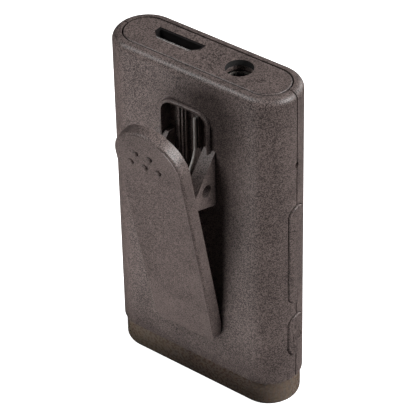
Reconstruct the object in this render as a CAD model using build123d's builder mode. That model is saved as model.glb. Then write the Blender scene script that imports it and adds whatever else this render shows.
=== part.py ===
"""Clip-on wireless bodypack transmitter, standing on its light cap.

Millimetres, +Z up through the long side. The origin is the centre of the flat base under the
light cap. -Y is the clip face and +X is the side with the volume rocker and the power button.
"""

from build123d import *

import os
from math import cos, radians, sin

# Body
width = 40.0
depth = 12.85
height = 71.0
wall = 1.5
end_radius = depth / 2
end_spacing = width - depth
face_y = -depth / 2
shell_bottom = 5.5
deck = 1.2
seam = 0.28
top_round = 1.5
slack = 0.1
foot_chamfer = 0.2

# Top panel and its openings
panel_thickness = 1.2
panel_rim_side = 1.8
panel_gap = 0.32
panel_underside = height - panel_thickness
top_deck_underside = panel_underside - deck
bottom_deck_top = shell_bottom + deck
jack_x = 7.2
jack_y = 0.2
jack_entry_radius = 2.65
jack_bore_radius = 1.8
jack_bore_bottom = 54.8
jack_recess = 2.6
jack_body_half = 3.0
jack_nose_radius = 2.95
port_x = -7.15
port_far_y = 2.3
port_near_y = -0.8
port_corner_y = 0.75
port_far_half = 5.23
port_near_half = 3.7
port_depth = 8.0

# Light cap
cap_inset = 0.4
cap_round = 0.8
cap_wall = 1.3
cap_floor = 1.2

# Main board, parallel to the front face
board_y = 2.7
board_thickness = 0.8
board_left = -15.3
board_right = 12.2
board_bottom = 7.5
board_top = 67.9

# Side keys: one long rocker and one short button on the +X end
rocker_z = 35.15
rocker_half = 11.35
power_z = 16.15
power_half = 4.95
key_half_width = 2.2
key_gap = 0.16
key_stand = 0.33
flange_inner_x = 16.6
flange_thickness = 0.6
flange_lip = 0.6
nub_radius = 0.6
plunger_face_x = 15.8
plunger_length = 1.1
plunger_radius = 0.7
switch_arm = 8.0
switch_back_x = 14.2
switch_front_x = 15.4
key_board_thickness = 0.8
key_frame_thickness = 0.9
rocker_pin_x = 15.6
rocker_pin_radius = 0.5
mic_z = 55.45

# Clip: bracket in the clip face, lever, pin and spring
boss_half = 5.6
boss_bottom = 42.6
boss_top = 63.9
boss_corner = 2.8
boss_stand = 0.75
pocket_half = 5.15
pocket_floor_y = -4.5
ear_inner_x = 4.0
ear_outer_x = 6.6
pivot_y = -9.18
pivot_z = 49.09
pin_radius = 0.8
pin_recess = 1.5
lever_tilt = 12.0
lever_back = 4.1
lever_thickness = 2.5
lever_half = 7.65
lever_tip_half = 7.3
lever_top = 16.85
lever_tip_z = 12.0
tip_gap = 0.06
tip_corner = 3.0
tip_round = 1.8
lever_step = 0.14
lever_edge_round = 0.45
dot_radius = 0.64
dot_height = 0.4
spring_wire_radius = 0.3
spring_coil_radius = 1.35
leg_x = 1.55
leg_y = -5.8

# Fasteners
case_screw_x = 15.2
case_screw_y = -2.2
screw_shank = 0.7
screw_head = 1.25
screw_head_height = 0.55

pocket_bottom = boss_bottom + 0.7
pocket_top = boss_top - 0.45
boss_middle_z = (boss_top + boss_bottom) / 2
boss_front_y = face_y - boss_stand

os.makedirs("parts", exist_ok=True)


def save(piece, label):
    """Name a finished piece and write it as one STEP file."""
    piece.part.label = label
    export_step(piece.part, f"parts/{label}.step")


def stadium_block(inset, low, high, mode=Mode.ADD):
    """Upright block with the body's round-ended outline, set in by inset."""
    with BuildSketch(Plane.XY.offset(low)) as outline:
        SlotCenterToCenter(end_spacing, depth - 2 * inset)
    extrude(outline.sketch, amount=high - low, mode=mode)


def box_between(low, high, mode=Mode.ADD):
    """Box from its lowest corner to its highest corner."""
    middle = tuple((a + b) / 2 for a, b in zip(low, high))
    with Locations(middle):
        Box(*[b - a for a, b in zip(low, high)], mode=mode)


def side_pill(x, z, half_length, half_width, length, mode=Mode.ADD):
    """Round-ended bar standing along Z, pushed along +X from x."""
    with BuildSketch(Plane.YZ.offset(x)) as outline:
        with Locations((0, z)):
            SlotOverall(2 * half_length, 2 * half_width, rotation=90)
    extrude(outline.sketch, amount=length, mode=mode)


def rod_x(x, y, z, radius, length, mode=Mode.ADD):
    """Round rod along +X from x."""
    with BuildSketch(Plane.YZ.offset(x)) as outline:
        with Locations((y, z)):
            Circle(radius)
    extrude(outline.sketch, amount=length, mode=mode)


def rod_y(x, y, z, radius, length, mode=Mode.ADD):
    """Round rod along +Y from y."""
    with BuildSketch(Plane.XZ.offset(-y)) as outline:
        with Locations((x, z)):
            Circle(radius)
    extrude(outline.sketch, amount=-length, mode=mode)


def rod_z(x, y, z, radius, length, mode=Mode.ADD):
    """Round rod along +Z from z."""
    with BuildSketch(Plane.XY.offset(z)) as outline:
        with Locations((x, y)):
            Circle(radius)
    extrude(outline.sketch, amount=length, mode=mode)


def port_block(inset, low, high, mode=Mode.ADD):
    """Upright block with the data port's outline: square at the front, bevelled at the rear."""
    with BuildSketch(Plane.XY.offset(low)) as outline:
        with BuildLine():
            Polyline(
                (port_x - port_far_half, port_far_y),
                (port_x + port_far_half, port_far_y),
                (port_x + port_far_half, port_corner_y),
                (port_x + port_near_half, port_near_y),
                (port_x - port_near_half, port_near_y),
                (port_x - port_far_half, port_corner_y),
                close=True,
            )
        make_face()
        if inset:
            offset(amount=-inset, kind=Kind.INTERSECTION, mode=Mode.REPLACE)
    extrude(outline.sketch, amount=high - low, mode=mode)


def screw_seat(x, low, mode, radius):
    """Round-ended tab on the front shell that lies over a screw boss of the rear shell."""
    with BuildSketch(Plane.XY.offset(low)) as outline:
        with Locations((x, case_screw_y / 2)):
            SlotCenterToCenter(-case_screw_y, 2 * radius, rotation=90)
    extrude(outline.sketch, amount=deck, mode=mode)


# ---------------------------------------------------------------- shells
def shell_blank(body):
    """Both shells as one hollow body with its openings, before it is parted at y = 0."""
    stadium_block(0, shell_bottom, height)
    fillet(body.edges().group_by(Axis.Z)[-1], radius=top_round)
    chamfer(body.edges().group_by(Axis.Z)[0], length=foot_chamfer)
    stadium_block(wall, bottom_deck_top, top_deck_underside, Mode.SUBTRACT)
    stadium_block(panel_rim_side, panel_underside, height + 1, Mode.SUBTRACT)

    # Connector openings in the top deck
    rod_z(jack_x, jack_y, top_deck_underside - 1, jack_nose_radius + slack, deck + 2, Mode.SUBTRACT)
    port_block(-0.3, top_deck_underside - 1, panel_underside + 1, Mode.SUBTRACT)

    # Light guide stems and cap legs in the bottom deck
    for x in led_places:
        box_between((x - 1.4, 1.3, shell_bottom - 1), (x + 1.4, 3.4, bottom_deck_top + 1), Mode.SUBTRACT)
    for x, side in cap_legs:
        box_between(
            (x - 1.6, min(side * 3.1, side * 4.5), shell_bottom - 1),
            (x + 1.6, max(side * 3.1, side * 4.5), bottom_deck_top + 1),
            Mode.SUBTRACT,
        )

    # Key apertures and microphone hole on the +X end
    side_pill(17, rocker_z, rocker_half, key_half_width, 4, Mode.SUBTRACT)
    side_pill(17, power_z, power_half, key_half_width, 4, Mode.SUBTRACT)
    side_pill(17, mic_z, 0.65, 0.5, 4, Mode.SUBTRACT)


led_places = (-5.0, 5.0)
cap_legs = [(x, side) for x in (-9.5, 9.5) for side in (-1, 1)]
screw_sides = (-case_screw_x, case_screw_x)
bracket_screws_at = [(x, z) for x in (-8.2, 8.2) for z in (45.0, 61.5)]
board_screws_at = [(-12.6, 59.5), (10.0, 46.0), (-12.6, 11.0)]

with BuildPart() as rear_shell:
    shell_blank(rear_shell)
    for x in screw_sides:
        screw_seat(x, panel_underside - deck, Mode.SUBTRACT, 2.3)
        screw_seat(x, shell_bottom, Mode.SUBTRACT, 2.3)
    split(bisect_by=Plane.XZ.offset(seam / 2), keep=Keep.TOP)

    # Screw bosses, each tied to the wall by a web
    for x in screw_sides:
        for low, high in ((61.0, top_deck_underside - 0.05), (bottom_deck_top + 0.05, 10.0)):
            rod_z(x, case_screw_y, low, 1.9, high - low)
            box_between((x - 0.5, -4.9, low), (x + 0.5, case_screw_y, high))
        rod_z(x, case_screw_y, 65.2, screw_shank + 0.02, 4, Mode.SUBTRACT)
        rod_z(x, case_screw_y, shell_bottom, screw_shank + 0.02, 4.2, Mode.SUBTRACT)

    # Window for the clip bracket and its blind screw holes
    with BuildSketch(Plane.XZ.offset(4)):
        with Locations((0, boss_middle_z)):
            RectangleRounded(
                2 * boss_half + 2 * slack, boss_top - boss_bottom + 2 * slack, boss_corner + slack
            )
    extrude(amount=4, mode=Mode.SUBTRACT)
    for x, z in bracket_screws_at:
        rod_y(x, face_y + 0.5, z, screw_shank + 0.02, 1.5, Mode.SUBTRACT)

    # Aligning lip that reaches inside the front shell along the -X end
    with BuildSketch(Plane.XY.offset(14)):
        with Locations((-end_spacing / 2, 0)):
            Circle(end_radius - wall + 0.04)
            Circle(end_radius - wall - 0.7, mode=Mode.SUBTRACT)
        with Locations((-end_spacing / 2 - 4.6, -1.0)):
            Rectangle(3.4, 1.9, mode=Mode.INTERSECT)
    extrude(amount=44)
    with BuildSketch(Plane.XY.offset(14)):
        with Locations((-end_spacing / 2, 0)):
            Circle(end_radius - wall - 0.08)
            Circle(end_radius - wall - 0.7, mode=Mode.SUBTRACT)
        with Locations((-end_spacing / 2 - 4.6, 0.45)):
            Rectangle(3.4, 1.3, mode=Mode.INTERSECT)
    extrude(amount=44)
save(rear_shell, "rear_shell")

with BuildPart() as front_shell:
    shell_blank(front_shell)
    split(bisect_by=Plane.XZ.offset(-seam / 2), keep=Keep.BOTTOM)

    # Tabs that cross the seam over the rear shell's screw bosses
    for x in screw_sides:
        screw_seat(x, panel_underside - deck, Mode.ADD, 2.2)
        screw_seat(x, shell_bottom, Mode.ADD, 2.2)
        rod_z(x, case_screw_y, shell_bottom - 1, screw_shank + 0.1, 4, Mode.SUBTRACT)
        rod_z(x, case_screw_y, top_deck_underside - 1, screw_shank + 0.1, 4, Mode.SUBTRACT)
        rod_z(x, case_screw_y, panel_underside - 0.6, screw_head + 0.1, 2, Mode.SUBTRACT)
        rod_z(x, case_screw_y, shell_bottom - 1, screw_head + 0.1, 1.6, Mode.SUBTRACT)

    # Board bosses
    board_front = board_y + board_thickness
    for x, z in board_screws_at:
        rod_y(x, board_front, z, 1.7, depth / 2 - wall + 0.2 - board_front)
        rod_y(x, board_front - 1, z, screw_shank + 0.02, 3.0, Mode.SUBTRACT)
save(front_shell, "front_shell")


# ---------------------------------------------------------------- top panel
def microphone_mark(x, y):
    """Raised outline of a studio microphone, drawn flat on the panel."""
    with BuildSketch(Plane.XY.offset(height)) as mark:
        with Locations((x, y + 0.35)):
            SlotOverall(1.3, 0.7, rotation=90)
        with BuildLine(mode=Mode.PRIVATE) as cradle:
            CenterArc((x, y + 0.2), 0.75, 180, 180)
        trace(cradle.line, 0.2)
        with Locations((x, y - 0.85)):
            Rectangle(0.2, 0.6)
        with Locations((x, y - 1.15)):
            Rectangle(1.0, 0.2)
    extrude(mark.sketch, amount=mark_height)


def headphone_mark(x, y):
    """Raised outline of a pair of headphones, drawn flat on the panel."""
    with BuildSketch(Plane.XY.offset(height)) as mark:
        with BuildLine(mode=Mode.PRIVATE) as band:
            CenterArc((x, y - 0.1), 1.1, 0, 180)
        trace(band.line, 0.22)
        with Locations((x - 1.05, y - 0.55), (x + 1.05, y - 0.55)):
            RectangleRounded(0.6, 1.1, 0.25)
    extrude(mark.sketch, amount=mark_height)


mark_height = 0.08

with BuildPart() as top_panel:
    stadium_block(panel_rim_side + panel_gap, panel_underside, height)
    chamfer(top_panel.edges().group_by(Axis.Z)[-1], length=0.12)
    rod_z(jack_x, jack_y, panel_underside - 1, jack_entry_radius, 3, Mode.SUBTRACT)
    port_block(0, panel_underside - 1, height + 1, Mode.SUBTRACT)
    headphone_mark(1.15, 0.0)
    microphone_mark(12.5, 0.0)
save(top_panel, "top_panel")

# ---------------------------------------------------------------- light cap and guide
with BuildPart() as light_cap:
    stadium_block(cap_inset, 0, shell_bottom - 0.05)
    fillet(light_cap.edges().group_by(Axis.Z)[0], radius=cap_round)
    stadium_block(cap_inset + cap_wall, cap_floor, shell_bottom, Mode.SUBTRACT)
    for x, side in cap_legs:
        leg_low = min(side * 3.6, side * 4.85)
        leg_high = max(side * 3.6, side * 4.85)
        box_between((x - 1.4, leg_low, 1.0), (x + 1.4, leg_high, shell_bottom - 0.1))
        leg_high = max(side * 3.6, side * 4.3)
        leg_low = min(side * 3.6, side * 4.3)
        box_between((x - 1.4, leg_low, 4.0), (x + 1.4, leg_high, 7.7))
        hook_low = min(side * 3.6, side * 4.8)
        hook_high = max(side * 3.6, side * 4.8)
        box_between((x - 1.4, hook_low, 6.8), (x + 1.4, hook_high, 7.4))
save(light_cap, "light_cap")

with BuildPart() as light_guide:
    with BuildSketch(Plane.XY.offset(cap_floor + 0.1)):
        SlotCenterToCenter(24, 6.4)
    extrude(amount=shell_bottom - cap_floor - 1.3)
    for x in led_places:
        box_between((x - 1.2, 1.6, 3.0), (x + 1.2, 3.1, board_bottom - 0.15))
save(light_guide, "light_guide")

# ---------------------------------------------------------------- main board and what it carries
with BuildPart() as main_board:
    box_between(
        (board_left, board_y, board_bottom), (board_right, board_y + board_thickness, board_top)
    )
    fillet(main_board.edges().filter_by(Axis.Y), radius=1.0)
    for x, z in board_screws_at:
        rod_y(x, board_y - 1, z, screw_shank + 0.1, 3, Mode.SUBTRACT)
save(main_board, "main_board")


def board_chip(x, z, size_x, size_z, rise, label):
    """Flat package standing on the battery side of the board, with a rounded outline."""
    with BuildPart() as chip:
        with BuildSketch(Plane.XZ.offset(-board_y)) as outline:
            with Locations((x, z)):
                RectangleRounded(size_x, size_z, 0.25)
        extrude(outline.sketch, amount=rise)
        chamfer(chip.edges().group_by(Axis.Y)[0], length=0.1)
    save(chip, label)


board_chip(-8.5, 50.0, 9.0, 12.0, 1.5, "radio_shield")
board_chip(-6.0, 33.0, 7.0, 7.0, 0.9, "processor_chip")
board_chip(5.0, 33.5, 5.0, 5.0, 0.9, "audio_chip")
board_chip(5.0, 22.0, 4.0, 4.0, 0.8, "charger_chip")
board_chip(-6.0, 22.5, 3.2, 2.5, 0.8, "clock_crystal")

with BuildPart() as status_lights:
    for x in led_places:
        box_between(
            (x - 0.8, board_y - 0.7, board_bottom + 0.1), (x + 0.8, board_y, board_bottom + 1.7)
        )
save(status_lights, "status_lights")

with BuildPart() as board_screws:
    for x, z in board_screws_at:
        rod_y(x, board_y - screw_head_height, z, screw_head, screw_head_height)
        rod_y(x, board_y - 0.1, z, screw_shank, 2.5)
        with Locations(Location((x, board_y - screw_head_height, z))):
            Box(1.5, 0.5, 0.3, mode=Mode.SUBTRACT)
            Box(0.3, 0.5, 1.5, mode=Mode.SUBTRACT)
save(board_screws, "board_screws")

# ---------------------------------------------------------------- battery
cell_left = -13.0
cell_right = 12.0
cell_rear = -4.6
cell_front = 0.6
cell_bottom = 8.6
cell_top = 38.6

with BuildPart() as battery_cell:
    box_between((cell_left, cell_rear, cell_bottom), (cell_right, cell_front, cell_top))
    fillet(battery_cell.edges().filter_by(Axis.Z), radius=1.2)
save(battery_cell, "battery_cell")

with BuildPart() as battery_pad:
    box_between((-9, -4.9, 13), (8, cell_rear - 0.02, 34))
save(battery_pad, "battery_pad")

with BuildPart() as battery_board:
    box_between((-8, -2.6, cell_top + 0.1), (8, -1.8, cell_top + 2.4))
    box_between((-6, -1.8, cell_top + 0.4), (-3.5, -1.1, cell_top + 1.9))
    box_between((0, -1.8, cell_top + 0.4), (2.5, -1.1, cell_top + 1.9))
save(battery_board, "battery_board")

lead_places = (4.0, 5.0, 6.0)
plug_z = 44.5

with BuildPart() as battery_leads:
    for x in lead_places:
        with BuildLine() as run:
            FilletPolyline(
                (x, -1.45, cell_top + 1.3),
                (x, -0.6, cell_top + 1.3),
                (x, 1.2, cell_top + 3.0),
                (x, 1.2, plug_z - 1.6),
                radius=0.7,
            )
        with BuildSketch(Plane(run.line @ 0, z_dir=run.line % 0)):
            Circle(0.32)
        sweep(path=run.line)
save(battery_leads, "battery_leads")

with BuildPart() as battery_plug:
    box_between((3.0, 0.3, plug_z - 1.55), (7.0, board_y, plug_z + 1.8))
    fillet(battery_plug.edges().filter_by(Axis.Y), radius=0.3)
save(battery_plug, "battery_plug")

# ---------------------------------------------------------------- data port
port_top = height - 0.1
port_floor = port_top - port_depth
port_gap = 0.12
port_shell = 0.3

with BuildPart() as data_port_shell:
    port_block(port_gap, port_floor, port_top)
    port_block(port_gap + port_shell, port_floor + port_shell, port_top + 1, Mode.SUBTRACT)
    for x in (port_x - 3.5, port_x + 3.5):
        box_between((x - 0.6, port_far_y - 0.3, port_floor), (x + 0.6, board_y, port_floor + 2))
save(data_port_shell, "data_port_shell")

tongue_half = 3.9
tongue_low_y = 0.55
tongue_high_y = 1.25

with BuildPart() as data_port_tongue:
    port_block(port_gap + port_shell + 0.02, port_floor + port_shell, port_floor + 2.2)
    box_between(
        (port_x - tongue_half, tongue_low_y, port_floor + 2),
        (port_x + tongue_half, tongue_high_y, port_top - 1.6),
    )
save(data_port_tongue, "data_port_tongue")

with BuildPart() as data_port_contacts:
    with Locations((port_x, tongue_low_y - 0.06, port_top - 3.9)):
        with GridLocations(0.8, 1, 9, 1):
            Box(0.4, 0.12, 3.4)
save(data_port_contacts, "data_port_contacts")

# ---------------------------------------------------------------- audio jack
jack_nose_top = height - jack_recess
jack_body_bottom = jack_bore_bottom - 1.0
jack_ring_height = 0.35
contact_heights = (57.5, 59.8, 66.0)

with BuildPart() as audio_jack:
    box_between(
        (jack_x - jack_body_half, jack_y - 2.5, jack_body_bottom),
        (jack_x + jack_body_half, board_y, top_deck_underside - 0.4),
    )
    fillet(audio_jack.edges().filter_by(Axis.Z), radius=0.4)
    rod_z(jack_x, jack_y, jack_body_bottom, 2.4, 1.0)
    nose_bottom = board_top + 0.2
    rod_z(jack_x, jack_y, nose_bottom, jack_nose_radius, jack_nose_top - nose_bottom)
    rod_z(jack_x, jack_y, jack_bore_bottom, jack_bore_radius, 20, Mode.SUBTRACT)
    for z in contact_heights:
        box_between(
            (jack_x - jack_body_half - 1, jack_y - 0.5, z - 1),
            (jack_x, jack_y + 0.5, z + 1),
            Mode.SUBTRACT,
        )
save(audio_jack, "audio_jack")

with BuildPart() as jack_contacts:
    for z in contact_heights:
        box_between(
            (jack_x - jack_body_half + 0.1, jack_y - 0.4, z - 0.9),
            (jack_x - jack_bore_radius - 0.15, jack_y + 0.4, z + 0.9),
        )
save(jack_contacts, "jack_contacts")

with BuildPart() as jack_ring:
    rod_z(jack_x, jack_y, jack_nose_top + 0.01, 2.45, jack_ring_height)
    rod_z(jack_x, jack_y, jack_nose_top - 1, jack_bore_radius, 3, Mode.SUBTRACT)
save(jack_ring, "jack_ring")

# ---------------------------------------------------------------- side key stack
key_stack_bottom = 10.3
key_frame_top = 50.0
key_board_top = 58.0
key_board_back = switch_back_x - key_board_thickness
key_frame_back = key_board_back - 0.05 - key_frame_thickness
switch_heights = {
    "volume_down": rocker_z + switch_arm,
    "volume_up": rocker_z - switch_arm,
    "power": power_z,
}

with BuildPart() as key_frame:
    box_between(
        (key_frame_back, -2.9, key_stack_bottom),
        (key_frame_back + key_frame_thickness, 2.6, key_frame_top),
    )
    for side in (-1, 1):
        box_between(
            (key_frame_back, min(side * 2.0, side * 2.6), rocker_z - 1.3),
            (16.4, max(side * 2.0, side * 2.6), rocker_z + 1.3),
        )
    rod_y(rocker_pin_x, -4, rocker_z, rocker_pin_radius + 0.01, 8, Mode.SUBTRACT)
save(key_frame, "key_frame")

with BuildPart() as key_board:
    box_between((key_board_back, -2.5, key_stack_bottom), (switch_back_x, 2.4, key_board_top))
    for side in (-1, 1):
        box_between(
            (key_board_back - 1, min(side * 1.9, side * 3), rocker_z - 1.5),
            (switch_back_x + 1, max(side * 1.9, side * 3), rocker_z + 1.5),
            Mode.SUBTRACT,
        )
save(key_board, "key_board")

with BuildPart() as key_switches:
    for z in switch_heights.values():
        box_between((switch_back_x, -1.6, z - 1.6), (switch_front_x, 1.6, z + 1.6))
        rod_x(switch_back_x + 0.1, 0, z, plunger_radius + 0.05, 3, Mode.SUBTRACT)
save(key_switches, "key_switches")

for key, z in switch_heights.items():
    with BuildPart() as plunger:
        rod_x(plunger_face_x - plunger_length, 0, z, plunger_radius, plunger_length)
        chamfer(plunger.edges().group_by(Axis.X)[-1], length=0.12)
    save(plunger, f"{key}_plunger")

with BuildPart() as rocker_pin:
    rod_y(rocker_pin_x, -2.6, rocker_z, rocker_pin_radius, 5.2)
save(rocker_pin, "rocker_pin")


def key_cap(key, z, half_length):
    """Key that follows the round end of the body, with a retaining flange behind the wall."""
    side_pill(flange_inner_x, z, half_length - key_gap, key_half_width - key_gap, 6)
    with BuildSketch(Plane.XY) as face_outline:
        SlotCenterToCenter(end_spacing, depth + 2 * key_stand)
    extrude(face_outline.sketch, amount=height, mode=Mode.INTERSECT)
    outer_face = key.faces().filter_by(GeomType.CYLINDER).sort_by(SortBy.AREA)[-1]
    fillet(outer_face.edges(), radius=0.22)
    side_pill(
        flange_inner_x,
        z,
        half_length + flange_lip,
        key_half_width + flange_lip - 0.15,
        flange_thickness,
    )


key_face_x = width / 2 + key_stand

with BuildPart() as volume_rocker:
    key_cap(volume_rocker, rocker_z, rocker_half)
    for key in ("volume_up", "volume_down"):
        nub_length = flange_inner_x - plunger_face_x - 0.04
        rod_x(flange_inner_x - nub_length, 0, switch_heights[key], nub_radius, nub_length + 0.2)
    # Pivot web
    box_between((rocker_pin_x, -1.8, rocker_z - 1.0), (flange_inner_x + 0.1, 1.8, rocker_z + 1.0))
    rod_y(rocker_pin_x, -1.8, rocker_z, 1.0, 3.6)
    rod_y(rocker_pin_x, -3, rocker_z, rocker_pin_radius + 0.04, 6, Mode.SUBTRACT)
    # Minus mark near the top end, plus mark near the bottom end
    box_between((key_face_x - 0.3, -0.15, 42.2), (key_face_x + 0.07, 0.15, 44.0))
    box_between((key_face_x - 0.3, -0.15, 24.9), (key_face_x + 0.07, 0.15, 26.7))
    box_between((key_face_x - 0.3, -0.9, 25.65), (key_face_x + 0.04, 0.9, 25.95))
save(volume_rocker, "volume_rocker")

with BuildPart() as power_button:
    key_cap(power_button, power_z, power_half)
    nub_length = flange_inner_x - plunger_face_x - 0.04
    rod_x(flange_inner_x - nub_length, 0, power_z, nub_radius, nub_length + 0.2)
    # Power mark: broken ring and bar
    with BuildSketch(Plane.YZ.offset(key_face_x - 0.3)):
        with Locations((0, 15.8)):
            Circle(1.2)
            Circle(0.95, mode=Mode.SUBTRACT)
        with Locations((0, 17.0)):
            Rectangle(0.9, 1.2, mode=Mode.SUBTRACT)
            Rectangle(0.25, 1.1)
    extrude(amount=0.36)
save(power_button, "power_button")

# ---------------------------------------------------------------- microphone
with BuildPart() as microphone:
    box_between((switch_back_x, -1.5, mic_z - 1.9), (switch_back_x + 1.1, 1.5, mic_z + 1.9))
    rod_x(switch_back_x + 0.5, 0, mic_z, 0.3, 2, Mode.SUBTRACT)
save(microphone, "microphone")

with BuildPart() as microphone_boot:
    rod_x(switch_back_x + 1.15, 0, mic_z, 1.45, 18.2 - switch_back_x - 1.15)
    rod_x(switch_back_x, 0, mic_z, 0.5, 6, Mode.SUBTRACT)
save(microphone_boot, "microphone_boot")

# ---------------------------------------------------------------- antenna
antenna_bottom = 20.0
antenna_top = 57.0

with BuildPart() as antenna_carrier:
    box_between((-16.4, -2.6, antenna_bottom), (board_left - 0.1, 2.4, antenna_top))
save(antenna_carrier, "antenna_carrier")

with BuildPart() as antenna_strip:
    box_between((-16.7, -2.2, antenna_bottom + 1), (-16.42, 2.2, antenna_top - 1))
    slots = 8
    pitch = (antenna_top - antenna_bottom - 4) / slots
    for number in range(slots):
        z = antenna_bottom + 2 + pitch * (number + 0.5)
        shift = 0.5 if number % 2 else -0.5
        box_between((-17, shift - 2.2, z - 0.6), (-16, shift + 2.2, z + 0.6), Mode.SUBTRACT)
save(antenna_strip, "antenna_strip")

# ---------------------------------------------------------------- case screws
with BuildPart() as case_screws:
    for x in screw_sides:
        head_low = panel_underside - screw_head_height
        rod_z(x, case_screw_y, head_low, screw_head, screw_head_height)
        rod_z(x, case_screw_y, 65.4, screw_shank, head_low - 65.4)
        rod_z(x, case_screw_y, shell_bottom + 0.02, screw_head, screw_head_height)
        rod_z(x, case_screw_y, shell_bottom + screw_head_height, screw_shank, 3.4)
        for z in (panel_underside, shell_bottom):
            with Locations((x, case_screw_y, z)):
                Box(1.5, 0.3, 0.5, mode=Mode.SUBTRACT)
                Box(0.3, 1.5, 0.5, mode=Mode.SUBTRACT)
save(case_screws, "case_screws")

# ---------------------------------------------------------------- clip bracket
flange_back_y = -4.1
ear_root_top = 56.3
ear_root_bottom = 44.4
ear_root_y = face_y - 0.03


with BuildPart() as clip_bracket:
    # Flange behind the wall
    with BuildSketch(Plane.XZ.offset(-flange_back_y)):
        with Locations((0, boss_middle_z)):
            RectangleRounded(19.6, boss_top - boss_bottom + 3, 1.5)
    extrude(amount=0.8)
    # Boss that fills the window and stands proud of the face
    with BuildSketch(Plane.XZ.offset(-pocket_floor_y - 0.8)):
        with Locations((0, boss_middle_z)):
            RectangleRounded(2 * boss_half, boss_top - boss_bottom, boss_corner)
    extrude(amount=-boss_front_y + pocket_floor_y + 0.8)
    fillet(clip_bracket.faces().sort_by(Axis.Y)[0].edges(), radius=0.25)
    # Channel housing behind the floor
    box_between((-2.3, pocket_floor_y + 0.5, 45.2), (1.7, pocket_floor_y + 1.5, 62.0))
    # Pocket and channel
    with BuildSketch(Plane.XZ.offset(-pocket_floor_y)):
        with Locations((0, (pocket_top + pocket_bottom) / 2)):
            RectangleRounded(2 * pocket_half, pocket_top - pocket_bottom, boss_corner - 0.4)
    extrude(amount=5, mode=Mode.SUBTRACT)
    box_between((-1.5, pocket_floor_y - 1, 46.0), (0.8, pocket_floor_y + 0.8, 61.4), Mode.SUBTRACT)
    # Low ribs beside the channel, and the seat of the spring's upper leg
    for x in (-2.9, -2.1):
        box_between((x - 0.15, pocket_floor_y - 0.35, pocket_bottom), (x + 0.15, pocket_floor_y, 62.6))
    seat_y = leg_y + spring_wire_radius + 0.02
    box_between((leg_x - 0.6, seat_y, 54.6), (leg_x + 0.6, pocket_floor_y + 0.1, 62.0))
    # Ears: a slab that stands off the face, rooted in the boss beside the pocket
    for side in (-1, 1):
        slab_x = min(side * ear_inner_x, side * ear_outer_x)
        with BuildSketch(Plane.YZ.offset(slab_x)) as ear:
            with BuildLine():
                Polyline(
                    (ear_root_y, ear_root_top),
                    (-12.9, 48.6),
                    (-12.15, 46.4),
                    (ear_root_y, ear_root_bottom),
                    close=True,
                )
            make_face()
            fillet(ear.vertices().sort_by(Axis.X)[:2], radius=1.1)
        extrude(amount=ear_outer_x - ear_inner_x)
        root_x = sorted((side * ear_inner_x, side * (boss_half - 0.3)))
        box_between(
            (root_x[0], ear_root_y - 0.1, ear_root_bottom + 0.1),
            (root_x[1], flange_back_y - 0.2, ear_root_top - 0.1),
        )
    rod_x(-10, pivot_y, pivot_z, pin_radius + 0.01, 20, Mode.SUBTRACT)
    rod_x(ear_outer_x - pin_recess, pivot_y, pivot_z, 1.3, 2, Mode.SUBTRACT)
    rod_x(-ear_outer_x - 2 + pin_recess, pivot_y, pivot_z, 1.3, 2, Mode.SUBTRACT)
    for x, z in bracket_screws_at:
        rod_y(x, -6, z, screw_shank + 0.1, 4, Mode.SUBTRACT)
save(clip_bracket, "clip_bracket")

with BuildPart() as bracket_screws:
    for x, z in bracket_screws_at:
        rod_y(x, flange_back_y + 0.01, z, screw_head, screw_head_height)
        rod_y(x, face_y + 0.55, z, screw_shank, flange_back_y - face_y - 0.5)
        with Locations((x, flange_back_y + screw_head_height, z)):
            Box(1.5, 0.5, 0.3, mode=Mode.SUBTRACT)
            Box(0.3, 0.5, 1.5, mode=Mode.SUBTRACT)
save(bracket_screws, "bracket_screws")

# ---------------------------------------------------------------- clip lever
tilt = radians(lever_tilt)
lever_front = lever_back + lever_thickness
outward = (0, -cos(tilt), -sin(tilt))
front_foot = (0, pivot_y + lever_front * outward[1], pivot_z + lever_front * outward[2])
back_foot = (0, pivot_y + lever_back * outward[1], pivot_z + lever_back * outward[2])
lever_plane = Plane(origin=front_foot, x_dir=(1, 0, 0), z_dir=outward)
lever_tip = (lever_tip_z - front_foot[2]) / cos(tilt)


def along_lever(foot, reach):
    """Point (y, z) at a distance up the lever from the foot of one of its two faces."""
    return (foot[1] - reach * sin(tilt), foot[2] + reach * cos(tilt))


def lever_plan(lift, inset, amount):
    """Block with the lever's plan outline: round top, nearly parallel sides, round tip corners."""
    with BuildSketch(lever_plane.offset(lift)) as plan:
        with BuildLine():
            top = CenterArc((0, lever_top - lever_half), lever_half - inset, 0, 180)
            FilletPolyline(
                top @ 1,
                (inset - lever_tip_half, lever_tip),
                (lever_tip_half - inset, lever_tip),
                top @ 0,
                radius=tip_corner,
            )
        make_face()
    extrude(plan.sketch, amount=amount)


pad_y = face_y - tip_gap
pad_reach = (back_foot[1] - pad_y) / sin(tilt)
tip_front = along_lever(front_foot, lever_tip)
grip_dots = [(-2.35, 11.45), (0.75, 11.45), (-3.9, 8.7), (-0.8, 8.7), (2.3, 8.7)]

# Plan: a body with rounded front edges, and a slightly smaller raised front plate
with BuildPart() as lever_block:
    lever_plan(-12, 0, 12 - lever_step)
    body_front = lever_block.faces().sort_by(Axis(front_foot, outward))[-1]
    fillet(body_front.edges(), radius=lever_edge_round)
    lever_plan(-2 * lever_step, lever_edge_round, 4)

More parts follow.
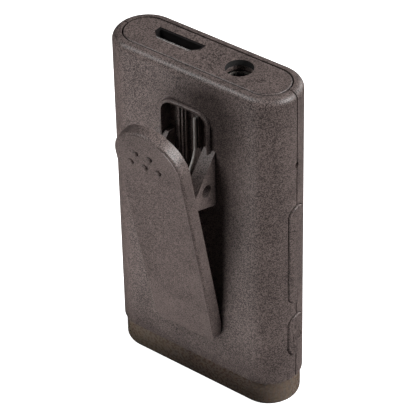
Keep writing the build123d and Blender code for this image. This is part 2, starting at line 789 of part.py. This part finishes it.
with BuildPart() as clip_lever:
    # Side profile: two long faces, and a tip pad that lies flat on the clip face
    with BuildSketch(Plane.YZ.offset(-10)) as profile:
        with BuildLine():
            Polyline(
                along_lever(front_foot, lever_top + 3),
                tip_front,
                (pad_y, lever_tip_z),
                along_lever(back_foot, pad_reach),
                along_lever(back_foot, lever_top + 3),
                close=True,
            )
        make_face()
        fillet(profile.vertices().sort_by_distance((*tip_front, 0))[0], radius=tip_round)
    extrude(amount=20)
    add(lever_block.part, mode=Mode.INTERSECT)
    # Grip dots
    with BuildSketch(lever_plane.offset(-0.2)):
        with Locations(*grip_dots):
            Circle(dot_radius)
    extrude(amount=0.2 + dot_height)
    dot_tops = clip_lever.edges().group_by(Axis(front_foot, outward))[-1]
    fillet(dot_tops, radius=0.28)
    # Lugs that carry the pin
    for start in (-3.85, 2.7):
        with BuildSketch(Plane.YZ.offset(start)):
            with Locations((pivot_y, pivot_z)):
                Circle(1.9)
            with Locations(Location((back_foot[1] - 0.3, back_foot[2], 0), lever_tilt)):
                Rectangle(0.6, 9)
            make_hull()
        extrude(amount=1.15)
    rod_x(-10, pivot_y, pivot_z, pin_radius + 0.04, 20, Mode.SUBTRACT)
save(clip_lever, "clip_lever")

with BuildPart() as clip_pin:
    pin_half = ear_outer_x - pin_recess - 0.1
    rod_x(-pin_half, pivot_y, pivot_z, pin_radius, 2 * pin_half)
    chamfer(clip_pin.edges().filter_by(GeomType.CIRCLE), length=0.15)
save(clip_pin, "clip_pin")

# ---------------------------------------------------------------- clip spring
coil_turns = 4.5
coil_start_x = -1.6
coil_pitch = (leg_x - coil_start_x) / coil_turns
pivot_axis = Axis((0, pivot_y, pivot_z), (1, 0, 0))
lever_leg_end = along_lever(back_foot, 7.5)
lever_leg_lift = (spring_wire_radius + 0.05) / cos(tilt)
leg_overlap = 0.6
body_leg = [
    (leg_x, pivot_y + spring_coil_radius, pivot_z - leg_overlap),
    (leg_x, leg_y - 0.9, 52.0),
    (leg_x, leg_y, 54.6),
    (leg_x, leg_y, 61.2),
]
lever_leg = [
    (coil_start_x, pivot_y - spring_coil_radius, pivot_z - leg_overlap),
    (coil_start_x, pivot_y - spring_coil_radius, pivot_z + 1.5),
    (coil_start_x, lever_leg_end[0] + lever_leg_lift, lever_leg_end[1]),
]

coil = Helix(
    pitch=coil_pitch,
    height=coil_pitch * coil_turns,
    radius=spring_coil_radius,
    center=(coil_start_x, pivot_y, pivot_z),
    direction=(1, 0, 0),
).rotate(pivot_axis, 90)

with BuildPart() as clip_spring:
    with BuildSketch(Plane(coil @ 0, z_dir=coil % 0)):
        Circle(spring_wire_radius)
    sweep(path=Wire([coil]), is_frenet=True)
    for points in (body_leg, lever_leg):
        with BuildLine() as run:
            FilletPolyline(*points, radius=0.8)
        with BuildSketch(Plane(run.line @ 0, z_dir=run.line % 0)):
            Circle(spring_wire_radius)
        sweep(path=run.line)
save(clip_spring, "clip_spring")
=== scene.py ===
"""Looks of the clip-on wireless bodypack transmitter, in metres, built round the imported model."""

from math import cos, pi, radians, sin

import bmesh
import bpy
from mathutils import Matrix, Vector


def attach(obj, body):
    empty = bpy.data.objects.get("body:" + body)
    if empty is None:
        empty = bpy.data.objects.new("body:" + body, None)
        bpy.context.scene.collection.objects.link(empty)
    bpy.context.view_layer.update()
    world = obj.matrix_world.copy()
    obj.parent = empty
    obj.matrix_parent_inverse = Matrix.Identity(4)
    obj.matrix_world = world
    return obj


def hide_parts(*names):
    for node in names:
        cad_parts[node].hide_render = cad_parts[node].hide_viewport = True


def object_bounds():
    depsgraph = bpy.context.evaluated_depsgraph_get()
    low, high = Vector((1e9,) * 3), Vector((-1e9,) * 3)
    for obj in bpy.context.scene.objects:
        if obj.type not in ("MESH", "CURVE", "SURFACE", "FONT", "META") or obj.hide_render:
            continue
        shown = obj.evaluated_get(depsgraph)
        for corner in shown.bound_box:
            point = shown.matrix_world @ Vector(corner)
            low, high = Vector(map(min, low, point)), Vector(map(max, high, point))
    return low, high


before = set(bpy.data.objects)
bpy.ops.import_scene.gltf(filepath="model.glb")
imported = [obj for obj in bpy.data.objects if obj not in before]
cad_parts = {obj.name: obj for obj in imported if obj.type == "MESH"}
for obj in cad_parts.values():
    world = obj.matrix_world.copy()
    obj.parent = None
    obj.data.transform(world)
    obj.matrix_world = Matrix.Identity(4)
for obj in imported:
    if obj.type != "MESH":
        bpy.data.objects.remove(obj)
cad_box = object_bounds()

MM = 0.001

# Camera: where it stands round the object, and its long lens
CAMERA_AZIMUTH = 38.297
CAMERA_ELEVATION = 37.541
CAMERA_ROLL = -1.218
CAMERA_DISTANCE = 0.46288
CAMERA_LENS = 214.6
TARGET = Vector((-0.00041, 0.0, 0.03647))

# Studio: the sweep and the dome glow by themselves, and the black board stands this far in front
# of the origin, a little further on the side with the keys
SWEEP_HALF = 3.0
DOME_RADIUS = 2.8
FLOOR_GLOW = 0.95
DOME_GLOW = 0.9
FLAG_DROP = 1 * MM
FLAG_GAP = 22.5 * MM
FLAG_SLANT = 0.08

# Lever and spring, as the CAD has them
PIVOT = Vector((0.0, -9.18, 49.09)) * MM
LEVER_TILT = radians(12)
LEVER_BACK = 4.1 * MM
SPRING_WIRE = 0.3 * MM
SPRING_COIL = 1.35 * MM
SPRING_TURNS = 4.5
LEVER_LEG_X = -1.6 * MM
BODY_LEG_X = 1.55 * MM
BODY_LEG_Y = -5.8 * MM


# ---------------------------------------------------------------- material tools
class Nodes:
    """A short way to build one material's node tree round its Principled shader."""

    def __init__(self, name):
        self.material = bpy.data.materials.new(name)
        self.material.use_nodes = True
        self.tree = self.material.node_tree
        self.shader = self.tree.nodes["Principled BSDF"]
        self.place = self.add("TexCoord").outputs["Object"]

    def add(self, kind, **values):
        node = self.tree.nodes.new("ShaderNode" + kind)
        for name, value in values.items():
            setattr(node, name, value)
        return node

    def link(self, source, socket):
        self.tree.links.new(source, socket)

    def noise(self, feature, detail=3.0, roughness=0.55, stretch=None):
        """Noise between 0 and 1, with lumps of about this size in metres."""
        node = self.add("TexNoise")
        node.inputs["Scale"].default_value = 1 / feature
        node.inputs["Detail"].default_value = detail
        node.inputs["Roughness"].default_value = roughness
        place = self.place
        if stretch:
            mapping = self.add("Mapping")
            mapping.inputs["Scale"].default_value = stretch
            self.link(place, mapping.inputs["Vector"])
            place = mapping.outputs["Vector"]
        self.link(place, node.inputs["Vector"])
        return node.outputs["Fac"]

    def cells(self, feature, output="Distance"):
        """Cells of about this size in metres: distance from each middle, or a random colour each."""
        node = self.add("TexVoronoi", feature="F1")
        node.inputs["Scale"].default_value = 1 / feature
        self.link(self.place, node.inputs["Vector"])
        return node.outputs[output]

    def spread(self, source, low, high, to_low, to_high):
        """The source's range low..high, mapped onto to_low..to_high and held there."""
        node = self.add("MapRange")
        node.inputs["From Min"].default_value = low
        node.inputs["From Max"].default_value = high
        node.inputs["To Min"].default_value = to_low
        node.inputs["To Max"].default_value = to_high
        self.link(source, node.inputs["Value"])
        return node.outputs["Result"]

    def along(self, axis):
        """Place along X, Y or Z, in metres."""
        split = self.add("SeparateXYZ")
        self.link(self.place, split.inputs["Vector"])
        return split.outputs[axis]

    def maths(self, operation, first, second):
        """Result of an operation on two values, each a number or another node's output."""
        node = self.add("Math", operation=operation)
        for socket, value in zip(node.inputs, (first, second)):
            if isinstance(value, (int, float)):
                socket.default_value = value
            else:
                self.link(value, socket)
        return node.outputs["Value"]

    def blend(self, amount, first, second):
        """Mix of two colours by an output's amount; each is a colour or another node's output."""
        node = self.add("Mix", data_type="RGBA")
        for name, value in (("A", first), ("B", second)):
            socket = [s for s in node.inputs if s.name == name and s.type == "RGBA"][0]
            if isinstance(value, tuple):
                socket.default_value = (*value, 1)
            else:
                self.link(value, socket)
        self.link(amount, node.inputs["Factor"])
        return [s for s in node.outputs if s.type == "RGBA"][0]

    def edges(self, radius):
        """1 on edges sharper than this radius and 0 on flat ground."""
        bevel = self.add("Bevel", samples=6)
        bevel.inputs["Radius"].default_value = radius
        ground = self.add("NewGeometry")
        dot = self.add("VectorMath", operation="DOT_PRODUCT")
        self.link(bevel.outputs["Normal"], dot.inputs[0])
        self.link(ground.outputs["Normal"], dot.inputs[1])
        return self.spread(dot.outputs["Value"], 0.995, 0.80, 0.0, 1.0)

    def crevices(self, reach):
        """0 deep in gaps narrower than this reach and 1 on open ground."""
        shade = self.add("AmbientOcclusion", samples=6)
        shade.inputs["Distance"].default_value = reach
        return self.spread(shade.outputs["AO"], 0.25, 0.75, 0.0, 1.0)

    def facing_up(self):
        """1 on faces that look up along Z and 0 on upright walls."""
        ground = self.add("NewGeometry")
        split = self.add("SeparateXYZ")
        self.link(ground.outputs["True Normal"], split.inputs["Vector"])
        return self.spread(split.outputs["Z"], 0.3, 0.6, 0.0, 1.0)

    def bumps(self, *layers):
        """Relief in metres: (height source, depth) layers, one on the other."""
        normal = None
        for source, depth in layers:
            bump = self.add("Bump")
            bump.inputs["Strength"].default_value = 1.0
            bump.inputs["Distance"].default_value = depth
            self.link(source, bump.inputs["Height"])
            if normal:
                self.link(normal, bump.inputs["Normal"])
            normal = bump.outputs["Normal"]
        self.link(normal, self.shader.inputs["Normal"])

    def set(self, **values):
        """Constants on the shader's own sockets, such as Metallic or Coat_Weight."""
        for name, value in values.items():
            self.shader.inputs[name.replace("_", " ")].default_value = value

    def pattern(self, source, dark, light, low=0.3, high=0.7):
        """Mix from dark to light as the source goes from low to high."""
        return self.blend(self.spread(source, low, high, 0.0, 1.0), dark, light)

    def colour(self, source):
        self.link(source, self.shader.inputs["Base Color"])

    def roughness(self, source):
        self.link(source, self.shader.inputs["Roughness"])


def grey(value):
    return (value, value, value)


# ---------------------------------------------------------------- plastics
# Paint of the shells, panel, clip and keys, and the plastic under it, whose black also stands in the
# crevices as painted shade
BARE_BLACK_AND_CREVICE_SHADE = (0.006, 0.005, 0.005)
SHELL_DARK = (0.018, 0.0140, 0.0131)
SHELL_LIGHT = (0.205, 0.1590, 0.1475)
# Edges are paler by this gain within this radius: wear, and also a painted highlight on edges too sharp to
# catch the light
EDGE_WEAR_AND_HIGHLIGHT_GAIN = 1.5
EDGE_WEAR_AND_HIGHLIGHT_RADIUS = 0.18 * MM
GAP_REACH = 0.5 * MM


def sparked_plastic(name, grain, depth, painted_up=False):
    """Matte paint over plastic with a fine sparkling grain. Its edges are paler from wear and a painted
    highlight, and its crevices turn black as painted shade. With painted_up, walls that don't face up are
    bare black plastic too.
    """
    made = Nodes(name)
    pebbles = made.noise(grain * 1.3, detail=2.0, roughness=0.6)
    sparkle = made.spread(made.cells(grain, "Color"), 0.30, 0.75, 0.0, 1.0)
    cloud = made.noise(9 * MM, detail=2.0)
    tone = made.maths("ADD", made.maths("MULTIPLY", sparkle, 0.85), made.spread(cloud, 0.3, 0.7, 0.0, 0.15))
    body = made.blend(tone, SHELL_DARK, SHELL_LIGHT)
    # Paler edges: wear and painted highlight together, patchy by the cloud noise
    worn_and_lit_edge = tuple(part * EDGE_WEAR_AND_HIGHLIGHT_GAIN for part in SHELL_LIGHT)
    wear_and_edge_highlight = made.maths("MULTIPLY", made.edges(EDGE_WEAR_AND_HIGHLIGHT_RADIUS), made.spread(cloud, 0.35, 0.7, 0.15, 0.5))
    paint = made.blend(wear_and_edge_highlight, body, worn_and_lit_edge)
    # Painted shade: where the occlusion test finds a crevice, the colour turns black
    paint_unshaded = made.crevices(GAP_REACH)
    if painted_up:
        paint_unshaded = made.maths("MULTIPLY", paint_unshaded, made.facing_up())
    made.colour(made.blend(paint_unshaded, BARE_BLACK_AND_CREVICE_SHADE, paint))
    finish = made.spread(sparkle, 0.0, 1.0, 0.34, 0.48)
    crevice_and_bare_rough = made.maths("MULTIPLY", made.maths("SUBTRACT", 1.0, paint_unshaded), 0.5)
    made.roughness(made.maths("ADD", finish, crevice_and_bare_rough))
    made.bumps((made.noise(14 * MM, detail=1.0), 0.02 * MM), (pebbles, depth))
    return made.material


def shell_material():
    return sparked_plastic("shell_plastic", 0.14 * MM, 0.04 * MM)


def panel_material():
    return sparked_plastic("panel_plastic", 0.16 * MM, 0.05 * MM, painted_up=True)


def clip_material():
    return sparked_plastic("clip_plastic", 0.12 * MM, 0.03 * MM)


def keys_material():
    return sparked_plastic("key_plastic", 0.15 * MM, 0.04 * MM)


def cap_material():
    """Smoked brown polycarbonate that lets a little warm light through, with a painted glow towards its
    ends.
    """
    made = Nodes("smoked_cap")
    streaks = made.noise(9 * MM, detail=1.0)
    ripple = made.noise(0.6 * MM, detail=1.0)
    smoke = made.pattern(streaks, (0.085, 0.062, 0.050), (0.102, 0.074, 0.059))
    # Painted glow: the colour is paler towards the round ends, and most at the one away from the keys,
    # standing for light that comes through
    across = made.maths("SUBTRACT", made.along("X"), 6 * MM)
    painted_glow_ends = made.spread(made.maths("ABSOLUTE", across, 0), 7 * MM, 18 * MM, 0.0, 0.9)
    made.colour(made.blend(painted_glow_ends, smoke, (0.20, 0.155, 0.12)))
    made.roughness(made.spread(ripple, 0.3, 0.7, 0.22, 0.34))
    made.bumps((ripple, 0.004 * MM))
    made.set(Subsurface_Weight=0.3, Subsurface_Radius=(4 * MM, 2 * MM, 1 * MM))
    made.set(Coat_Weight=0.5, Coat_Roughness=0.15)
    return made.material


def guide_material():
    """Frosted acrylic that spreads the status lights."""
    made = Nodes("frosted_guide")
    frost = made.noise(0.25 * MM, detail=2.0)
    made.colour(made.pattern(frost, (0.16, 0.13, 0.11), (0.24, 0.20, 0.17)))
    made.roughness(made.spread(frost, 0.3, 0.7, 0.45, 0.65))
    made.bumps((frost, 0.02 * MM))
    made.set(Subsurface_Weight=0.2, Subsurface_Radius=(2 * MM, 1.5 * MM, 1 * MM))
    return made.material


def plain_plastic(name, dark, light, rough=(0.4, 0.55)):
    """Moulded plastic of the inside, with a faint flow pattern."""
    made = Nodes(name)
    flow = made.noise(3 * MM, detail=4.0, stretch=(1.0, 1.0, 0.3))
    grit = made.noise(0.4 * MM, detail=2.0)
    made.colour(made.pattern(flow, dark, light))
    made.roughness(made.spread(grit, 0.3, 0.7, *rough))
    made.bumps((grit, 0.01 * MM))
    return made.material


# ---------------------------------------------------------------- metals
def metal(name, dark, light, rough, brushed, painted_rim_glint=None, metallic=1.0):
    """Metal with fine drawn lines along one direction.

    If a rim colour is given, it is painted onto the edges on the clip's side of the body as a painted
    glint.
    """
    made = Nodes(name)
    lines = made.noise(0.35 * MM, detail=3.0, stretch=brushed)
    smudge = made.noise(1.8 * MM, detail=2.0)
    body = made.pattern(smudge, dark, light)
    if painted_rim_glint:
        # Painted glint: the rim colour goes on the edges on the clip's side alone
        lip = made.spread(made.along("Y"), -0.2 * MM, -0.5 * MM, 0.0, 1.0)
        body = made.blend(made.maths("MULTIPLY", made.edges(0.2 * MM), lip), body, painted_rim_glint)
    made.colour(body)
    made.roughness(made.spread(lines, 0.3, 0.7, *rough))
    made.bumps((lines, 0.004 * MM))
    made.set(Metallic=metallic)
    return made.material


# ---------------------------------------------------------------- electronics
def board_material():
    """Green solder mask over a grid of copper tracks."""
    made = Nodes("circuit_board")
    tracks = made.add("TexBrick")
    tracks.inputs["Scale"].default_value = 1 / (6 * MM)
    tracks.inputs["Mortar Size"].default_value = 0.03
    mapping = made.add("Mapping")
    mapping.inputs["Rotation"].default_value = (pi / 2, 0, 0)
    made.link(made.place, mapping.inputs["Vector"])
    made.link(mapping.outputs["Vector"], tracks.inputs["Vector"])
    weave = made.noise(0.5 * MM, detail=2.0)
    mask = made.pattern(weave, (0.004, 0.035, 0.016), (0.008, 0.055, 0.026))
    made.colour(made.blend(tracks.outputs["Fac"], mask, (0.012, 0.085, 0.035)))
    made.roughness(made.spread(weave, 0.3, 0.7, 0.3, 0.42))
    made.bumps((tracks.outputs["Fac"], 0.02 * MM), (weave, 0.006 * MM))
    return made.material


def cell_material():
    """Creased aluminium laminate of a pouch cell."""
    made = Nodes("cell_foil")
    creases = made.noise(2.5 * MM, detail=5.0, roughness=0.7)
    made.colour(made.pattern(creases, (0.42, 0.42, 0.43), (0.6, 0.6, 0.61), 0.35, 0.65))
    made.roughness(made.spread(creases, 0.3, 0.7, 0.3, 0.5))
    made.bumps((creases, 0.12 * MM))
    made.set(Metallic=0.8)
    return made.material


def foam_material():
    """Open black foam with pores."""
    made = Nodes("foam_tape")
    pores = made.cells(0.3 * MM)
    made.colour(made.pattern(pores, grey(0.03), grey(0.075), 0.0, 0.7))
    made.roughness(made.spread(pores, 0.0, 0.7, 0.8, 0.95))
    made.bumps((pores, 0.08 * MM))
    return made.material


MATERIALS = {
    "shell": shell_material(),
    "panel": panel_material(),
    "clip": clip_material(),
    "keys": keys_material(),
    "smoked_cap": cap_material(),
    "guide": guide_material(),
    "steel": metal("zinc_steel", (0.50, 0.50, 0.51), (0.68, 0.68, 0.69), (0.22, 0.4), (1, 1, 1)),
    "spring_steel": metal(
        "spring_wire", (0.80, 0.77, 0.73), (0.95, 0.92, 0.88), (0.30, 0.42), (4, 1, 0.2), metallic=0.5
    ),
    "plated": metal("nickel_plate", (0.52, 0.50, 0.47), (0.70, 0.68, 0.64), (0.2, 0.36), (1, 1, 0.15)),
    "board": board_material(),
    "chip": plain_plastic("chip_epoxy", (0.012, 0.012, 0.013), (0.022, 0.022, 0.023), rough=(0.5, 0.65)),
    "lamp": plain_plastic("lamp_resin", (0.75, 0.72, 0.60), (0.85, 0.82, 0.70), rough=(0.2, 0.3)),
    "cell": cell_material(),
    "foam": foam_material(),
    "lead": plain_plastic("lead_jacket", (0.35, 0.02, 0.015), (0.45, 0.03, 0.02), rough=(0.35, 0.5)),
    "connector": plain_plastic("connector_nylon", (0.55, 0.52, 0.44), (0.65, 0.62, 0.54)),
    "insulator": plain_plastic("insulator_resin", grey(0.010), (0.020, 0.019, 0.018)),
    "gold": metal("gold_plate", (0.72, 0.46, 0.14), (0.92, 0.66, 0.25), (0.2, 0.34), (1, 1, 0.2)),
    "frame_plastic": plain_plastic("frame_nylon", (0.030, 0.028, 0.027), (0.05, 0.047, 0.045)),
    "boot": plain_plastic("boot_rubber", grey(0.010), grey(0.018), rough=(0.7, 0.85)),
    "plunger": plain_plastic("plunger_acetal", grey(0.10), grey(0.16), rough=(0.35, 0.45)),
}


# The port's shell is dark with a painted glint on its lip, and the jack's body is a blacker resin than the
# rest
OWN_FINISH = {
    "data_port_shell": metal(
        "black_nickel", (0.006, 0.005, 0.005), (0.012, 0.010, 0.010), (0.45, 0.6), (1, 1, 0.2),
        painted_rim_glint=(0.95, 0.93, 0.90), metallic=0.2,
    ),
    "audio_jack": plain_plastic("jack_resin", grey(0.004), (0.008, 0.007, 0.007), rough=(0.35, 0.5)),
}


def dress_cad_nodes():
    """Each CAD node gets its own finish, or the one of its material slot."""
    for name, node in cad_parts.items():
        for slot in node.material_slots:
            slot.material = OWN_FINISH.get(name, MATERIALS[slot.material.name.split(".")[0]])


# ---------------------------------------------------------------- clip spring
def wire(name, points, body):
    """Round steel wire along these points."""
    curve = bpy.data.curves.new(name, "CURVE")
    curve.dimensions = "3D"
    curve.bevel_depth = SPRING_WIRE
    curve.bevel_resolution = 6
    curve.use_fill_caps = True
    spline = curve.splines.new("NURBS")
    spline.points.add(len(points) - 1)
    for point, place in zip(spline.points, points):
        point.co = (*place, 1)
    spline.order_u = 3
    spline.use_endpoint_u = True
    spline.resolution_u = 6
    piece = bpy.data.objects.new(name, curve)
    bpy.context.scene.collection.objects.link(piece)
    curve.materials.append(MATERIALS["spring_steel"])
    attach(piece, body)
    return piece


def coil_point(turn, x):
    """Point of the coil: turn 0 is on the lever's side of the pin, and a full turn is 1."""
    angle = turn * 2 * pi
    across = Vector((0, -cos(angle), sin(angle))) * SPRING_COIL
    return PIVOT + across + Vector((x, 0, 0))


def lever_back_point(x, reach, lift):
    """Point lifted off the lever's back face, at a distance up from the pin."""
    outward = Vector((0, -cos(LEVER_TILT), -sin(LEVER_TILT)))
    along = Vector((0, -sin(LEVER_TILT), cos(LEVER_TILT)))
    return PIVOT + outward * (LEVER_BACK - lift) + along * reach + Vector((x, 0, 0))


def clip_spring():
    """The coil and its leg in the pocket stay with the body, and the other leg with the lever."""
    steps = 16
    count = int(SPRING_TURNS * steps)
    coil = [
        coil_point(step / steps, LEVER_LEG_X + (BODY_LEG_X - LEVER_LEG_X) * step / count)
        for step in range(count + 1)
    ]
    leg = [
        Vector((BODY_LEG_X, PIVOT.y + SPRING_COIL, PIVOT.z - 0.6 * MM)),
        Vector((BODY_LEG_X, PIVOT.y + SPRING_COIL, PIVOT.z + 1.2 * MM)),
        Vector((BODY_LEG_X, BODY_LEG_Y - 0.9 * MM, 52.0 * MM)),
        Vector((BODY_LEG_X, BODY_LEG_Y - 0.1 * MM, 53.9 * MM)),
        Vector((BODY_LEG_X, BODY_LEG_Y, 54.8 * MM)),
        Vector((BODY_LEG_X, BODY_LEG_Y, 58.0 * MM)),
        Vector((BODY_LEG_X, BODY_LEG_Y, 61.2 * MM)),
    ]
    body_piece = wire("spring_coil", coil, "housing")
    body_leg = wire("spring_body_leg", leg, "housing")
    lever_piece = wire(
        "spring_lever_leg",
        [
            coil_point(0, LEVER_LEG_X) - Vector((0, 0, 0.6 * MM)),
            coil_point(0, LEVER_LEG_X) + Vector((0, 0, 1.2 * MM)),
            lever_back_point(LEVER_LEG_X, 4.6 * MM, SPRING_WIRE * 1.6),
            lever_back_point(LEVER_LEG_X, 7.5 * MM, SPRING_WIRE * 1.1),
        ],
        "lever",
    )
    for piece in (body_piece, body_leg, lever_piece):
        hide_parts("clip_spring")


# ---------------------------------------------------------------- floor, lights and camera
def look_rotation(place, target, roll=0.0):
    """Rotation of a camera or lamp at place that faces target."""
    ahead = (target - place).normalized()
    right = ahead.cross(Vector((0, 0, 1))).normalized()
    up = right.cross(ahead)
    right, up = right * cos(roll) + up * sin(roll), up * cos(roll) - right * sin(roll)
    turned = Matrix((right, up, -ahead)).transposed()
    return turned.to_euler()


def stage_piece(name, mesh, cloth, weave, dark, light, rough, glow=None):
    """Piece of the studio with a faint weave. A glowing one is only looked at, and lights nothing."""
    piece = bpy.data.objects.new(name, mesh)
    bpy.context.scene.collection.objects.link(piece)
    made = Nodes(cloth)
    fibre = made.noise(*weave)
    made.colour(made.pattern(fibre, grey(dark), grey(light)))
    made.roughness(made.spread(fibre, 0.3, 0.7, *rough))
    mesh.materials.append(made.material)
    if glow:
        made.set(Emission_Color=(1, 1, 1, 1), Emission_Strength=glow)
        piece.visible_shadow = False
        piece.visible_diffuse = False
        piece.visible_glossy = False
    return piece


def sheet(name, near_left, near_right, level):
    """Flat sheet that runs from its near edge to the far side of the sweep."""
    mesh = bpy.data.meshes.new(name)
    near = [(-SWEEP_HALF, near_left), (SWEEP_HALF, near_right)]
    corners = [*near, (SWEEP_HALF, SWEEP_HALF), (-SWEEP_HALF, SWEEP_HALF)]
    mesh.from_pydata([(x, y, level) for x, y in corners], [], [(0, 1, 2, 3)])
    return mesh


def studio_floor():
    """Wide pale sweep under the object, through which the low key lamp shines up."""
    mesh = sheet("floor", -SWEEP_HALF, -SWEEP_HALF, 0)
    stage_piece("floor", mesh, "floor_paper", (20 * MM, 3.0), 0.86, 0.88, (0.85, 0.95), FLOOR_GLOW)


def studio_flag():
    """Black board just under the sweep, which keeps the low key lamp off the object's foot."""
    turn = FLAG_SLANT * SWEEP_HALF
    mesh = sheet("flag", turn - FLAG_GAP, -turn - FLAG_GAP, -FLAG_DROP)
    flag = stage_piece("flag", mesh, "flag_felt", (2 * MM, 3.0), 0.004, 0.008, (0.9, 1.0))
    flag.visible_camera = False


def studio_dome():
    """Pale dome over the sweep."""
    mesh = bpy.data.meshes.new("dome")
    shape = bmesh.new()
    bmesh.ops.create_uvsphere(shape, u_segments=48, v_segments=24, radius=DOME_RADIUS)
    shape.to_mesh(mesh)
    shape.free()
    stage_piece("dome", mesh, "dome_cloth", (50 * MM, 2.0), 0.80, 0.82, (0.85, 0.95), DOME_GLOW)


def placed(azimuth, elevation):
    """Way from the object to something that stands round it at these angles."""
    around, above = radians(azimuth), radians(elevation)
    return Vector((sin(around) * cos(above), -cos(around) * cos(above), sin(above)))


def softbox(name, azimuth, elevation, distance, size, power, glossy=True):
    """Rectangular lamp that stands round the object as the camera does, and faces its middle."""
    lamp = bpy.data.lights.new(name, "AREA")
    lamp.shape = "RECTANGLE"
    lamp.size, lamp.size_y = size
    lamp.energy = power
    piece = bpy.data.objects.new(name, lamp)
    middle = (cad_box[0] + cad_box[1]) / 2
    place = middle + placed(azimuth, elevation) * distance
    piece.location = place
    piece.rotation_euler = look_rotation(place, middle)
    piece.visible_glossy = glossy
    bpy.context.scene.collection.objects.link(piece)


def studio():
    """Sweep, board, dome and four soft lamps, in a faint even light."""
    studio_floor()
    studio_flag()
    studio_dome()
    softbox("low_key", -27, -28, 0.45, (0.34, 0.24), 2.5, glossy=False)
    softbox("high_key", -42, 50, 1.0, (0.40, 0.40), 5.0)
    softbox("side", 105, 30, 1.0, (0.50, 0.55), 13.5)
    softbox("back", 168, 15, 1.2, (0.50, 0.60), 5.0)
    world = bpy.data.worlds.new("studio_air")
    world.use_nodes = True
    air = world.node_tree.nodes["Background"]
    air.inputs["Color"].default_value = (1, 1, 1, 1)
    air.inputs["Strength"].default_value = 0.03
    bpy.context.scene.world = world
    bpy.context.scene.view_settings.view_transform = "Standard"


def camera():
    """The photo's own view."""
    data = bpy.data.cameras.new("camera")
    data.sensor_width = 36
    data.lens = CAMERA_LENS
    data.clip_start, data.clip_end = 0.01, 20
    piece = bpy.data.objects.new("camera", data)
    place = TARGET + placed(CAMERA_AZIMUTH, CAMERA_ELEVATION) * CAMERA_DISTANCE
    piece.location = place
    piece.rotation_euler = look_rotation(place, TARGET, radians(CAMERA_ROLL))
    bpy.context.scene.collection.objects.link(piece)
    bpy.context.scene.camera = piece


dress_cad_nodes()
clip_spring()
studio()
camera()
